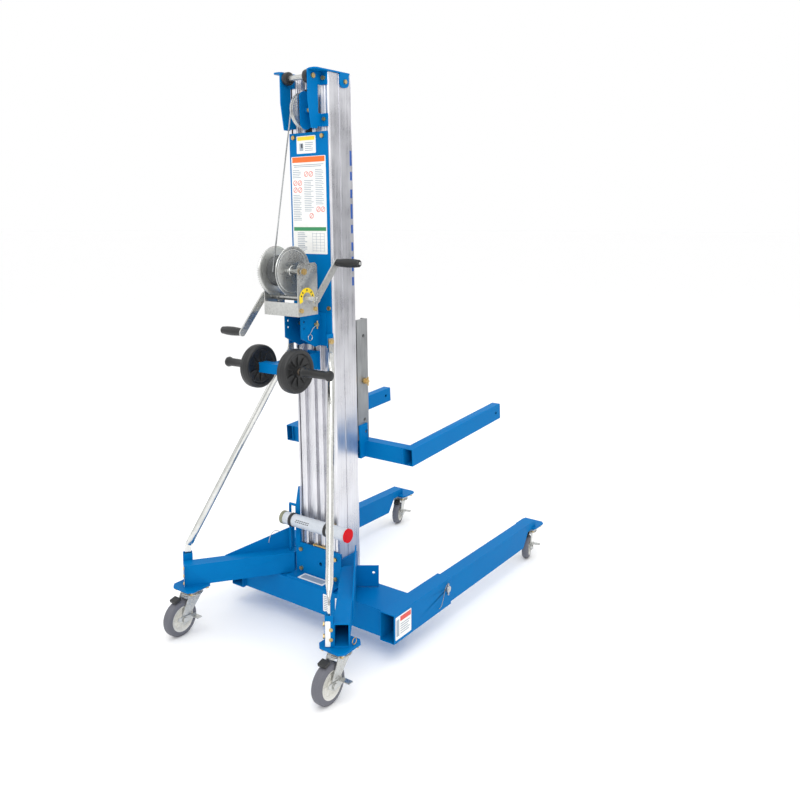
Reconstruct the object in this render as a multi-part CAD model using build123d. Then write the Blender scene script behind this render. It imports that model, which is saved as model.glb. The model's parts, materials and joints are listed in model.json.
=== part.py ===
"""Hand-winch material lift: straddle base on four casters, two-stage mast, forks. Millimetres.

Row frame: +X to the operator's right, +Y from the winch towards the forks, +Z up. The origin is on
the floor, in the middle of the footprint. The mast group is drawn upright in its own frame, where
x is the row's X, y is measured forwards from the column's rear face and z is the height over the
floor, and lean() then tips it back about the foot of the column.
"""
from build123d import *
import math
import os

# ---- driving dimensions -------------------------------------------------------------------------
FIT = 0.08                      # radial clearance of a pin or shaft in its hole
PAINT_GAP = 0.6                 # clearance between sliding or neighbouring sheet parts

# base
BEAM_HALF, BEAM_Y, BEAM_DEPTH = 330.0, -378.0, 156.0
BEAM_Z, BEAM_HEIGHT = 74.0, 94.0
SOCKET_X, SOCKET_WIDTH, SOCKET_WALL = 362.0, 60.0, 4.0
SOCKET_Y0, SOCKET_Y1, SOCKET_Z0, SOCKET_Z1 = -392.0, -32.0, 70.0, 172.0
LEG_WIDTH, LEG_HEIGHT, LEG_WALL = 50.8, 92.0, 3.5
LEG_Y0, LEG_Y1 = -250.0, 682.0
LEG_PIN_Y, LEG_PIN_Z, LEG_PIN_R = -60.0, 138.0, 7.0
REAR_LEG_FAR = (125.0, -306.0)
REAR_LEG_NEAR = (372.0, -640.0)
REAR_LEG_WIDTH, REAR_LEG_HEIGHT, REAR_LEG_WALL, REAR_LEG_Z = 50.8, 76.2, 4.0, 170.0
BRACE_R = 12.5
TOTAL_HALF_LENGTH = 745.0

# mast
LEAN = 1.2
FOOT_Y, FOOT_Z = -318.0, 168.0
MAST_HALF, MAST_DEPTH, MAST_TOP = 92.5, 128.0, 1983.0
WALL = 4.0
RIB_X, RIB_WIDTH, RIB_DEPTH = (65.0, 18.0), (26.0, 24.0), 11.0
CAVITY_HALF, CAVITY_Y = 79.0, 18.0
LIP_HALF = 62.0
INNER_HALF, INNER_Y0, INNER_Y1, INNER_WEB_Y = 77.0, 20.0, 120.0, 56.0
INNER_Z0, INNER_Z1 = 190.0, 1960.0
CARRIAGE_Z0, CARRIAGE_Z1 = 673.0, 1122.0
BAR_Y0, BAR_Y1 = 134.0, 196.0
HOLE_Y, HOLE_Z = 172.0, (701.0, 745.0, 892.0, 1060.0)
CABLE_R = 2.4

# winch
DRUM_Y, DRUM_Z, FLANGE_R, WOUND_R, CORE_R = -140.0, 1317.0, 84.0, 52.0, 32.0
DRUM_HALF = 41.0
SIDE_X, SIDE_T, SIDE_Y0, SIDE_Y1 = 76.0, 3.0, -161.0, -64.0
GEAR_MODULE, GEAR_TEETH, PINION_TEETH = 2.5, 64, 12
CENTRE_DISTANCE = GEAR_MODULE * (GEAR_TEETH + PINION_TEETH) / 2
CHEEK_X, SHELF_Z = 37.0, 1166.0
PIN_Y, PIN_Z = -36.0, 1124.0
CRANK_Y = -118.0
CRANK_Z = DRUM_Z - math.sqrt(CENTRE_DISTANCE ** 2 - (CRANK_Y - DRUM_Y) ** 2)
CRANK_X, CRANK_T, CRANK_R, CRANK_ANGLE = 120.0, 6.0, 157.0, 47.5
GRIP_LENGTH, GRIP_R = 98.0, 15.0

# top
SHEAVE_Y, SHEAVE_Z, SHEAVE_R, SHEAVE_T = -25.0, 1858.0, 60.0, 14.0
BRACKET_X, BRACKET_BACK, BRACKET_Z0 = 65.0, 70.0, 1794.0
ROLLER_Y, ROLLER_Z, ROLLER_R = -48.0, 1966.0, 22.5
HEAD_SHEAVE_Y, HEAD_SHEAVE_Z, SMALL_SHEAVE_R = 64.0, 1922.0, 24.0
FOOT_SHEAVE_Z = 250.0

# loading wheels
AXLE_Y, AXLE_Z, LOAD_WHEEL_R = -190.0, 990.0, 75.0
LOAD_WHEEL_X0, LOAD_WHEEL_X1 = 73.0, 113.0

# manual tube across the foot of the mast
MANUAL_Y, MANUAL_Z, MANUAL_R = -34.0, 385.0, 23.0
MANUAL_X0, MANUAL_X1 = -142.0, 163.0

# forks
FORK_X, FORK_WIDTH, FORK_HEIGHT, FORK_WALL, FORK_LENGTH = 288.0, 38.0, 63.5, 3.0, 655.0
FORK_Y, FORK_Z, FORK_TILT = 166.0, 604.0, 2.9

# casters: swivel place, wheel radius, underside of the leg's plate, trail, lead angle
REAR_CASTER = dict(x=350.0, y=-622.0, r=65.0, top=162.0, trail=58.0, turn=0.0, width=36.0)
FRONT_CASTER = dict(x=352.0, y=683.0, r=51.0, top=134.0, trail=36.0, turn=17.0, width=30.0)

parts = {}


# ---- small helpers ------------------------------------------------------------------------------
def add(node, *shapes):
    parts.setdefault(node, []).extend(shapes)


def block(x0, x1, y0, y1, z0, z1):
    return Pos((x0 + x1) / 2, (y0 + y1) / 2, (z0 + z1) / 2) * Box(x1 - x0, y1 - y0, z1 - z0)


def rod(start, end, radius):
    """A round bar from one point to another."""
    a, b = Vector(*start), Vector(*end)
    plane = Plane(origin=a, z_dir=b - a)
    return extrude(plane * Circle(radius), (b - a).length)


def x_bar(x0, x1, y, z, radius):
    return rod((min(x0, x1), y, z), (max(x0, x1), y, z), radius)


def hexagon(start, end, across):
    """A bolt head or nut along the line from start to end."""
    a, b = Vector(*start), Vector(*end)
    plane = Plane(origin=a, z_dir=b - a)
    return extrude(plane * RegularPolygon(across / 2, 6, major_radius=False), (b - a).length)


def lean(shape):
    """Tip a piece of the upright mast group back about the column's foot."""
    return Pos(0, FOOT_Y, FOOT_Z) * Rot(LEAN, 0, 0) * Pos(0, 0, -FOOT_Z) * shape


def mirrored(shape):
    return mirror(shape, about=Plane.YZ)


def path_tube(points, radius, bend):
    """A round tube along straight runs joined by tangent arcs; radii follow the shorter run."""
    pts = [Vector(*p) for p in points]
    radii = []
    for before, here, after in zip(pts, pts[1:], pts[2:]):
        turn = math.radians((here - before).get_angle(after - here))
        run = min((here - before).length, (after - here).length)
        radii.append(bend * run / math.tan(turn / 2))
    print("cord bend radii", [round(r, 1) for r in radii])
    line = FilletPolyline(*pts, radius=radii)
    plane = Plane(origin=pts[0], z_dir=pts[1] - pts[0])
    tube = sweep(plane * Circle(radius), path=line)
    print("cord length", round(line.length, 1), "volume ratio",
          round(tube.volume / (math.pi * radius ** 2 * line.length), 4))
    return tube


# ---- base ---------------------------------------------------------------------------------------
def make_beam():
    beam = block(-BEAM_HALF, BEAM_HALF, BEAM_Y, BEAM_Y + BEAM_DEPTH, BEAM_Z, FOOT_Z)
    beam -= block(-BEAM_HALF - 1, BEAM_HALF + 1, BEAM_Y + 5, BEAM_Y + BEAM_DEPTH - 5, BEAM_Z + 5, FOOT_Z - 5)
    add("cross_beam", beam)


def leg_pin_hole(side, x0, x1, radius):
    return x_bar(side * x0, side * x1, LEG_PIN_Y, LEG_PIN_Z, radius)


def make_socket(side):
    half = SOCKET_WIDTH / 2
    socket = block(side * SOCKET_X - half, side * SOCKET_X + half, SOCKET_Y0, SOCKET_Y1, SOCKET_Z0, SOCKET_Z1)
    socket -= block(side * SOCKET_X - half + SOCKET_WALL, side * SOCKET_X + half - SOCKET_WALL,
                    SOCKET_Y0 - 1, SOCKET_Y1 + 1, SOCKET_Z0 + SOCKET_WALL, SOCKET_Z1 - SOCKET_WALL)
    socket -= leg_pin_hole(side, SOCKET_X - half - 1, SOCKET_X + half + 1, LEG_PIN_R + FIT)
    return socket


def make_front_leg(side):
    """Square-ended tube, cut away under its nose to clear the caster, with a caster plate on it."""
    half = LEG_WIDTH / 2
    z0 = SOCKET_Z0 + SOCKET_WALL + PAINT_GAP
    z1 = z0 + LEG_HEIGHT
    plate_z = FRONT_CASTER["top"]
    profile = Polyline((LEG_Y0, z0), (LEG_Y1 - 115, z0), (LEG_Y1 - 72, plate_z), (LEG_Y1, plate_z),
                       (LEG_Y1, z1), (LEG_Y0, z1), close=True)
    centre = side * SOCKET_X
    leg = extrude(Plane.YZ.offset(centre - half) * make_face(profile), LEG_WIDTH)
    leg -= block(centre - half + LEG_WALL, centre + half - LEG_WALL, LEG_Y0 - 1, LEG_Y1 - 122,
                 z0 + LEG_WALL, z1 - LEG_WALL)
    leg -= block(centre - half + LEG_WALL, centre + half - LEG_WALL, LEG_Y1 - 123, LEG_Y1 + 1,
                 plate_z + 6, z1 - LEG_WALL)
    plate = block(side * FRONT_CASTER["x"] - 50, side * FRONT_CASTER["x"] + 50,
                  TOTAL_HALF_LENGTH - 100, TOTAL_HALF_LENGTH, plate_z, plate_z + 6)
    plate = chamfer(plate.edges().filter_by(Axis.Z), 14)
    leg += plate
    leg -= leg_pin_hole(side, SOCKET_X - half - 1, SOCKET_X + half + 1, LEG_PIN_R + FIT)
    return leg


def make_leg_pin(side):
    """Snap pin across the socket and the leg, with a turned head outside."""
    outer = side * (SOCKET_X + SOCKET_WIDTH / 2)
    pin = x_bar(side * (SOCKET_X - SOCKET_WIDTH / 2 - 8), outer + side * 10, LEG_PIN_Y, LEG_PIN_Z, LEG_PIN_R)
    pin += x_bar(outer + side * 0.6, outer + side * 9, LEG_PIN_Y, LEG_PIN_Z, 12)
    pin += rod((outer + side * 5, LEG_PIN_Y, LEG_PIN_Z - 22),
               (outer + side * 5, LEG_PIN_Y, LEG_PIN_Z + 22), 3)
    return pin


def rear_leg_frame(side):
    """Plane at the outer end of a splayed rear leg: z runs along the leg towards the mast."""
    near = Vector(side * REAR_LEG_NEAR[0], REAR_LEG_NEAR[1], 0)
    far = Vector(side * REAR_LEG_FAR[0], REAR_LEG_FAR[1], 0)
    along = (far - near).normalized()
    across = Vector(0, 0, 1).cross(along)
    return Plane(origin=near, x_dir=across, z_dir=along), (far - near).length


def make_rear_leg(side):
    plane, length = rear_leg_frame(side)
    middle = REAR_LEG_Z + REAR_LEG_HEIGHT / 2
    outer = plane * (Pos(0, middle) * Rectangle(REAR_LEG_WIDTH, REAR_LEG_HEIGHT))
    inner = plane * (Pos(0, middle) * Rectangle(REAR_LEG_WIDTH - 2 * REAR_LEG_WALL,
                                                REAR_LEG_HEIGHT - 2 * REAR_LEG_WALL))
    leg = extrude(outer, length) - extrude(inner, length)
    # wedge gusset on the front side, rising to the mast
    front = -side if plane.x_dir.Y * -side > 0 else side
    offset = front * REAR_LEG_WIDTH / 2
    wedge_plane = Plane(origin=plane.origin + plane.x_dir * offset, x_dir=plane.z_dir,
                        z_dir=plane.x_dir * front)
    sign = 1 if wedge_plane.y_dir.Z > 0 else -1
    wedge = Polyline((150, sign * (REAR_LEG_Z + 8)), (length - 4, sign * (REAR_LEG_Z + 8)),
                     (length - 4, sign * 325), (length - 22, sign * 325),
                     (150, sign * (REAR_LEG_Z + REAR_LEG_HEIGHT)), close=True)
    leg += extrude(wedge_plane * make_face(wedge), 5)
    cx, cy = side * REAR_CASTER["x"], REAR_CASTER["y"]
    plate = block(cx - 53, cx + 53, cy - 54, cy + 54, REAR_CASTER["top"], REAR_LEG_Z)
    plate = chamfer(plate.edges().filter_by(Axis.Z), 16)
    leg += plate
    # flange across the leg's inner end, standing on the beam
    end = plane.offset(length - 6)
    flange = end * (Pos(front * (REAR_LEG_WIDTH / 2 + 42), REAR_LEG_Z + 39) * Rectangle(86, 78))
    flange -= end * (Pos(front * (REAR_LEG_WIDTH / 2 + 66), REAR_LEG_Z + 52) * Circle(5))
    leg += extrude(flange, 6)
    # keep the leg clear of the column and the foot bracket
    leg -= block(-114, 114, FOOT_Y - 40, FOOT_Y + 200, 160, 400)
    return leg


def make_brace_foot(side):
    """Bent channel bolted to the rear leg's inner side, which takes the brace's lower end."""
    plane, _ = rear_leg_frame(side)
    inner = side if plane.x_dir.X * side < 0 else -side
    shift = inner * (REAR_LEG_WIDTH / 2 + 13.3)
    outside = plane * (Pos(shift, 221) * Rectangle(26, 100))
    hollow = plane.offset(4) * (Pos(shift, 221) * Rectangle(18, 110))
    return extrude(outside, 34) - extrude(hollow, 40)


def brace_foot_point(side, height):
    plane, _ = rear_leg_frame(side)
    inner = side if plane.x_dir.X * side < 0 else -side
    place = plane.origin + plane.x_dir * (inner * (REAR_LEG_WIDTH / 2 + 13.3)) + plane.z_dir * 19
    return Vector(place.X, place.Y, height)


def make_brace(side):
    """Tube with both ends pressed flat: the upper one on the mast's side, the lower in its foot."""
    top = lean(Pos(side * 96, -19, 1028) * Sphere(1)).center()
    low = brace_foot_point(side, 296)
    along = (low - top).normalized()
    plane, _ = rear_leg_frame(side)
    upper, lower = top + along * 62, low - along * 62
    brace = rod(upper, lower, BRACE_R)
    for end, start, flat_dir in ((top, upper, Vector(1, 0, 0)), (low, lower, plane.x_dir)):
        round_end = Plane(origin=start, x_dir=flat_dir, z_dir=start - end)
        flat_end = Plane(origin=end, x_dir=flat_dir, z_dir=start - end)
        brace += loft([flat_end * Rectangle(5, 26), round_end * Circle(BRACE_R)])
    brace += lean(block(side * 95.2 - 2.5, side * 95.2 + 2.5, -32, -6, 1022, 1078))
    brace += extrude(Plane(origin=(low.X, low.Y, 226), x_dir=plane.x_dir, z_dir=(0, 0, 1))
                     * Rectangle(7, 22), 76)
    return brace


def make_mast_foot():
    """Welded foot: upright rear plate with a tall tapered ear on its left, and side cheeks."""
    foot = block(-109, 109, -7, -PAINT_GAP, FOOT_Z + 6, 290) - rod((10, -12, 229), (10, 4, 229), 7)
    ear = Polyline((-109, 280), (-109, 419), (-91, 505), (-88, 505), (-88, 280), close=True)
    foot += extrude(Plane.XZ.offset(PAINT_GAP) * make_face(ear), 7 - PAINT_GAP)
    for side in (1, -1):
        foot += block(min(side * 93.2, side * 99), max(side * 93.2, side * 99), -7, 100, FOOT_Z + 6, 262)
    foot = lean(foot)
    foot += block(-112, 112, BEAM_Y + 2, BEAM_Y + BEAM_DEPTH + 30, FOOT_Z, FOOT_Z + 8)
    return foot


def make_hold_down():
    """Bent rod that stands over the left rear leg and is welded to the foot's ear."""
    x, y, top = -138, FOOT_Y - 8.5, 428
    bar = rod((x, y, REAR_LEG_Z + REAR_LEG_HEIGHT + PAINT_GAP), (x, y, top), 5)
    return bar + Pos(x, y, top) * Sphere(5) + rod((x, y, top), (-106, y, top), 5)


# ---- mast ---------------------------------------------------------------------------------------
def extruded(face, z0, z1):
    return Pos(0, 0, z0) * extrude(face, z1 - z0)


def outer_profile():
    """Column section: rounded ribs on a rear web, grooved sides and lips that hold the inner stage."""
    body = Pos(0, MAST_DEPTH / 2) * RectangleRounded(2 * MAST_HALF, MAST_DEPTH, 9)
    body -= Pos(0, CAVITY_Y + 100) * Rectangle(2 * CAVITY_HALF, 200)
    for side in (1, -1):
        x = side * (LIP_HALF + CAVITY_HALF) / 2
        body += Pos(x, MAST_DEPTH - 3) * Rectangle(CAVITY_HALF - LIP_HALF + 1, 6)
        body -= Pos(side * MAST_HALF, 54) * Rectangle(4, 5)
        body -= Pos(side * 85.7, 28) * Rectangle(6, 36)
        body -= Pos(side * 85.7, 82) * Rectangle(6, 38)
    # the rear is a thin web between four ribs
    body -= Rectangle(2 * (RIB_X[0] + RIB_WIDTH[0] / 2 + 2), 2 * (CAVITY_Y - WALL))
    for x, width in zip(RIB_X, RIB_WIDTH):
        for side in (1, -1):
            rib = Pos(side * x, CAVITY_Y / 2) * RectangleRounded(width, CAVITY_Y, 7)
            rib -= Pos(side * x, CAVITY_Y / 2) * Rectangle(width - 7, CAVITY_Y - 7)
            body += rib
    return body


def make_outer_mast():
    mast = extruded(outer_profile(), FOOT_Z + 8, MAST_TOP)
    slot = block(-16, 16, -5, 40, SHEAVE_Z - 78, SHEAVE_Z + 75)
    return lean(mast - slot)


def inner_profile():
    body = Pos(0, INNER_WEB_Y + WALL / 2) * Rectangle(2 * INNER_HALF - 6, WALL)
    for side in (1, -1):
        body += Pos(side * (INNER_HALF - 3), (INNER_Y0 + INNER_Y1) / 2) * Rectangle(6, INNER_Y1 - INNER_Y0)
        body += Pos(side * (INNER_HALF - 10), INNER_Y1 - 2.5) * Rectangle(20, 5)
        body += Pos(side * (INNER_HALF - 12), INNER_Y0 + 2.5) * Rectangle(24, 5)
    return body


def make_inner_mast():
    mast = extruded(inner_profile(), INNER_Z0, INNER_Z1)
    for z in (HEAD_SHEAVE_Z, FOOT_SHEAVE_Z):
        mast -= block(-9, 9, 30, 95, z - 34, z + 34)
        for side in (1, -1):
            mast += block(min(side * 9, side * 13), max(side * 9, side * 13), 52, 78, z - 16, z + 16)
        mast -= x_bar(-20, 20, HEAD_SHEAVE_Y, z, 5 + FIT)
    return lean(mast)


def grooved_sheave(x, y, z, radius, thick, bore):
    sheave = x_bar(x - thick / 2, x + thick / 2, y, z, radius)
    ring = Pos(x, y, z) * Rot(0, 90, 0) * Torus(radius + 0.6, 3.2)
    sheave -= ring
    return sheave - x_bar(x - thick, x + thick, y, z, bore)


def make_sheaves():
    big = grooved_sheave(0, SHEAVE_Y, SHEAVE_Z, SHEAVE_R, SHEAVE_T, 8 + FIT)
    add("mast_sheave", lean(big))
    for node, z in (("head_sheave", HEAD_SHEAVE_Z), ("foot_sheave", FOOT_SHEAVE_Z)):
        small = grooved_sheave(0, HEAD_SHEAVE_Y, z, SMALL_SHEAVE_R + 3, 12, 0.5)
        small += x_bar(-16, 16, HEAD_SHEAVE_Y, z, 5)
        add(node, lean(small))


def make_carriage():
    """Slide block inside the mast, a neck through the lips and the plate between the uprights."""
    z0, z1 = CARRIAGE_Z0, CARRIAGE_Z1
    slide = block(-68, 68, 64, 112, z0 + 40, z1 - 40) - block(-56, 56, 70, 106, z0, z1)
    slide -= block(-20, 20, 60, 80, z0, z1)
    slide += block(-50, 50, 106, BAR_Y0 + 2, z0 + 60, z1 - 60) - block(-42, 42, 100, 140, z0, z1)
    slide += block(-79.9, 79.9, BAR_Y0, BAR_Y0 + 6, z0, z1 - 20) - block(
        -34, 34, BAR_Y0 - 5, BAR_Y0 + 10, z0 + 120, z1 - 120)
    slide += block(-24, 24, 84, 88, z0 + 70, z1 - 60) + block(-58, 58, 84, 112, z0 + 70, z0 + 90)
    return lean(slide)


def make_upright(side):
    """Angle bar at the carriage plate's edge, drilled for the forks at several heights."""
    z0, z1 = CARRIAGE_Z0, CARRIAGE_Z1
    bar = block(min(side * 80, side * 88), max(side * 80, side * 88), BAR_Y0, BAR_Y1, z0, z1)
    bar += block(min(side * 60, side * 88), max(side * 60, side * 88), BAR_Y1 - 6, BAR_Y1, z0, z1)
    for hole_z in HOLE_Z:
        bar -= x_bar(side * 70, side * 100, HOLE_Y, hole_z, 7 + FIT)
    return lean(bar)


def fork_frame(shape):
    """Forks are tipped up a little about the foot of the carriage."""
    return lean(Pos(0, FORK_Y, FORK_Z) * Rot(FORK_TILT, 0, 0) * shape)


def make_forks():
    high = FORK_HEIGHT
    for side, node in ((1, "right_fork"), (-1, "left_fork")):
        x = side * FORK_X
        fork = block(x - FORK_WIDTH / 2, x + FORK_WIDTH / 2, 0, FORK_LENGTH, 0, high)
        fork -= block(x - FORK_WIDTH / 2 + FORK_WALL, x + FORK_WIDTH / 2 - FORK_WALL,
                      -1, FORK_LENGTH - 4, FORK_WALL, high - FORK_WALL)
        fork -= x_bar(x - 40, x + 40, FORK_LENGTH - 36, high / 2, 5)
        add(node, fork_frame(fork))
    edge = FORK_X - FORK_WIDTH / 2
    bar = block(-edge, edge, 2, 40, 0, high)
    bar -= block(-edge - 1, edge + 1, 5, 37, 3, high - 3)
    for side in (1, -1):
        bar += block(min(side * 88.6, side * 95), max(side * 88.6, side * 95), -28, 20, 2, high + 64)
        bar += block(min(side * 20, side * 95), max(side * 20, side * 95), -28, 5, 2, 8)
    add("fork_crossbar", fork_frame(bar) - lean(x_bar(-110, 110, HOLE_Y, HOLE_Z[0], 7 + FIT)))


def make_fork_pin():
    y, z = HOLE_Y, HOLE_Z[2]
    pin = x_bar(70, 103, y, z, 7) + x_bar(89, 98, y, z, 11)
    pin += rod((106, y, z - 16), (106, y, z + 16), 3) + x_bar(102, 109, y, z, 5)
    return lean(pin)


# ---- plates and brackets on the mast ------------------------------------------------------------
def make_back_plate():
    plate = block(-87.5, 87.5, -5.6, -PAINT_GAP, 1045, 1787)
    for side in (1, -1):
        plate += block(min(side * 87.5, side * 92), max(side * 87.5, side * 92), -34, -PAINT_GAP, 1045, 1092)
    return lean(plate)


def make_top_bracket(side):
    """Web behind the mast that carries the roller, flange on the rear ribs, lid and side ear."""
    z0 = BRACKET_Z0
    window_y, window_z0, window_z1 = -22, 1845, 1940
    web = Polyline((-PAINT_GAP, z0 + 8), (-24, z0 + 8), (-30, z0), (-BRACKET_BACK + 14, z0),
                   (-BRACKET_BACK, z0 + 90), (-BRACKET_BACK, MAST_TOP + 4), (-PAINT_GAP, MAST_TOP + 4),
                   close=True)
    bracket = extrude(Plane.YZ.offset(BRACKET_X - 5) * make_face(web), 5)
    bracket += block(BRACKET_X - 5, MAST_HALF - 2, -5.6, -PAINT_GAP, z0 + 8, MAST_TOP + 4)
    bracket -= block(BRACKET_X - 9, MAST_HALF + 1, window_y, 5, window_z0, window_z1)
    lid = block(BRACKET_X - 5, MAST_HALF + 6, -BRACKET_BACK, MAST_DEPTH - 12, MAST_TOP + 0.6, MAST_TOP + 5.6)
    lid = chamfer(lid.edges().filter_by(Axis.Z), 8)
    bracket += lid - block(0, INNER_HALF + 2.5, INNER_Y0 - 4, MAST_DEPTH, MAST_TOP, MAST_TOP + 10)
    ear = block(MAST_HALF + PAINT_GAP, MAST_HALF + 6, 56, 104, MAST_TOP - 46, MAST_TOP + 5)
    bracket += fillet(ear.edges().filter_by(Axis.X).group_by(Axis.Z)[0], 20)
    bracket -= x_bar(BRACKET_X - 12, BRACKET_X + 8, ROLLER_Y, ROLLER_Z, 6 + FIT)
    return lean(bracket if side > 0 else mirrored(bracket))


def make_sheave_guard():
    """Rounded plate over the sheave's right side, with the sheave's axle through it."""
    face = Pos(SHEAVE_Y - 3, SHEAVE_Z) * RectangleRounded(54, 128, 24)
    guard = extrude(Plane.YZ.offset(9.5) * face, 4)
    guard += block(9.5, 44, -6, -PAINT_GAP, SHEAVE_Z - 50, SHEAVE_Z + 50)
    guard += x_bar(-9, 22, SHEAVE_Y, SHEAVE_Z, 8)
    guard -= block(9, 17, -PAINT_GAP, 60, SHEAVE_Z - 90, SHEAVE_Z + 90)
    return lean(guard)


def make_top_roller():
    roller = x_bar(-44, 44, ROLLER_Y, ROLLER_Z, 9)
    for side in (1, -1):
        roller += x_bar(side * 35, side * 57, ROLLER_Y, ROLLER_Z, ROLLER_R)
    roller -= x_bar(-60, 60, ROLLER_Y, ROLLER_Z, 6 + FIT)
    return lean(roller)


def make_winch_bracket():
    """Blue channel under the winch: two cheeks with flanges on the back plate and a shelf."""
    bracket = block(-CHEEK_X - 2.5, CHEEK_X + 2.5, -107, -8, SHELF_Z - 5, SHELF_Z)
    for side in (1, -1):
        cheek = Polyline((-6.2, 1048), (-38, 1046), (-107, 1082), (-107, SHELF_Z - 2), (-6.2, SHELF_Z - 2),
                         close=True)
        plate = extrude(Plane.YZ.offset(side * CHEEK_X - 2.5) * make_face(cheek), 5)
        for z in (1116, 1139):
            plate -= x_bar(side * 20, side * 60, -92, z, 4.5)
        plate += block(min(side * 34, side * 66), max(side * 34, side * 66), -10.8, -6.2, 1048, SHELF_Z - 2)
        bracket += plate
    bracket -= x_bar(-60, 60, PIN_Y, PIN_Z, 6 + FIT)
    return lean(bracket)


def make_winch_frame():
    """Pressed steel U with the drum's axle across it; a lip stiffens its rear edge."""
    z0 = SHELF_Z + 0.4
    frame = block(-SIDE_X - SIDE_T, SIDE_X + SIDE_T, SIDE_Y0, SIDE_Y1, z0, z0 + 4)
    frame += block(-SIDE_X, SIDE_X, SIDE_Y0, SIDE_Y0 + 4, z0, z0 + 46)
    for side in (1, -1):
        cheek = Polyline((SIDE_Y1, z0), (SIDE_Y0, z0), (SIDE_Y0, 1344), (SIDE_Y1, 1344), close=True)
        x0 = min(side * SIDE_X, side * (SIDE_X + SIDE_T))
        plate = extrude(Plane.YZ.offset(x0) * make_face(cheek), SIDE_T)
        frame += chamfer(plate.edges().filter_by(Axis.X).group_by(Axis.Z)[-1], 10)
    frame -= x_bar(-90, 90, CRANK_Y, CRANK_Z, 9 + FIT)
    frame += x_bar(-SIDE_X - 9, SIDE_X + 9, DRUM_Y, DRUM_Z, 8)
    return lean(frame)


# ---- winch --------------------------------------------------------------------------------------
def spur(teeth, module, x0, x1, y, z, phase):
    """Straight-sided teeth with backlash, on a blank about an X axis."""
    pitch_r = module * teeth / 2
    root_r, tip_r = pitch_r - 1.2 * module, pitch_r + 0.75 * module
    pitch_angle = 2 * math.pi / teeth
    points = []
    for tooth in range(teeth):
        centre = phase + tooth * pitch_angle
        for radius, share in ((root_r, -0.27), (tip_r, -0.10), (tip_r, 0.10), (root_r, 0.27)):
            angle = centre + share * pitch_angle
            points.append((radius * math.cos(angle), radius * math.sin(angle)))
    face = make_face(Polyline(*points, close=True))
    return extrude(Plane(origin=(x0, y, z), x_dir=(0, 1, 0), z_dir=(1, 0, 0)) * face, x1 - x0)


def make_winch():
    mesh_angle = math.atan2(CRANK_Z - DRUM_Z, CRANK_Y - DRUM_Y)
    drum = x_bar(-DRUM_HALF, DRUM_HALF, DRUM_Y, DRUM_Z, CORE_R)
    for side in (1, -1):
        inside, outside = side * (DRUM_HALF - 3), side * DRUM_HALF
        drum += x_bar(inside, outside, DRUM_Y, DRUM_Z, FLANGE_R)
    drum -= x_bar(-60, 60, DRUM_Y, DRUM_Z, 8 + FIT)
    add("winch_drum", lean(drum))
    gear = spur(GEAR_TEETH, GEAR_MODULE, -DRUM_HALF - 6.5, -DRUM_HALF - 0.5, DRUM_Y, DRUM_Z, mesh_angle)
    gear -= x_bar(-60, 60, DRUM_Y, DRUM_Z, 8 + FIT)
    add("drum_gear", lean(gear))
    wound = x_bar(-DRUM_HALF + 3, DRUM_HALF - 3, DRUM_Y, DRUM_Z, WOUND_R)
    wound -= x_bar(-60, 60, DRUM_Y, DRUM_Z, CORE_R)
    add("cable_winding", lean(wound))
    shaft = x_bar(-CRANK_X - CRANK_T - 6, CRANK_X + CRANK_T + 6, CRANK_Y, CRANK_Z, 9)
    half_tooth = math.pi / PINION_TEETH
    pinion = spur(PINION_TEETH, GEAR_MODULE, -DRUM_HALF - 7, -DRUM_HALF, CRANK_Y, CRANK_Z,
                  mesh_angle + math.pi + half_tooth)
    add("crankshaft", lean(shaft + pinion))
    for side, name in ((1, "right"), (-1, "left")):
        angle = math.radians(CRANK_ANGLE) + (0 if side > 0 else math.pi)
        ey, ez = CRANK_Y + CRANK_R * math.cos(angle), CRANK_Z + CRANK_R * math.sin(angle)
        x0, x1 = sorted((side * CRANK_X, side * (CRANK_X + CRANK_T)))
        plane = Plane(origin=(x0, CRANK_Y, CRANK_Z), x_dir=(0, math.cos(angle), math.sin(angle)),
                      z_dir=(1, 0, 0))
        crank = extrude(plane * (Pos(CRANK_R / 2, 0) * SlotOverall(CRANK_R + 30, 25)), CRANK_T)
        crank += x_bar(side * (CRANK_X + 1), side * (CRANK_X + CRANK_T + GRIP_LENGTH + 4), ey, ez, 5)
        crank -= x_bar(x0 - 1, x1 + 1, CRANK_Y, CRANK_Z, 9)
        add(name + "_crank", lean(crank))
        inner = side * (CRANK_X + CRANK_T + 1)
        outer = side * (CRANK_X + CRANK_T + GRIP_LENGTH)
        grip = x_bar(inner, outer, ey, ez, GRIP_R) - x_bar(inner, outer, ey, ez, 5 + FIT)
        grip = fillet(grip.edges().filter_by(GeomType.CIRCLE).group_by(SortBy.RADIUS)[-1], 4)
        add(name + "_crank_grip", lean(grip))


def make_cables():
    """Lift cable outside the mast, then the two runs whose length changes inside it."""
    top = (0, SHEAVE_Y - SHEAVE_R - 0.6, SHEAVE_Z - 4)
    low = (0, DRUM_Y - WOUND_R - 3.4, DRUM_Z + 4)
    add("lift_cable", lean(rod(top, low, CABLE_R)))
    front = SHEAVE_Y + SHEAVE_R + 0.8
    add("mast_cable", lean(rod((0, front, FOOT_SHEAVE_Z + 24), (0, front, SHEAVE_Z - 4), CABLE_R)))
    forward = HEAD_SHEAVE_Y + SMALL_SHEAVE_R + 5
    add("carriage_cable", lean(rod((0, forward, CARRIAGE_Z1 - 58), (0, forward, HEAD_SHEAVE_Z - 6), CABLE_R)))


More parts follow.
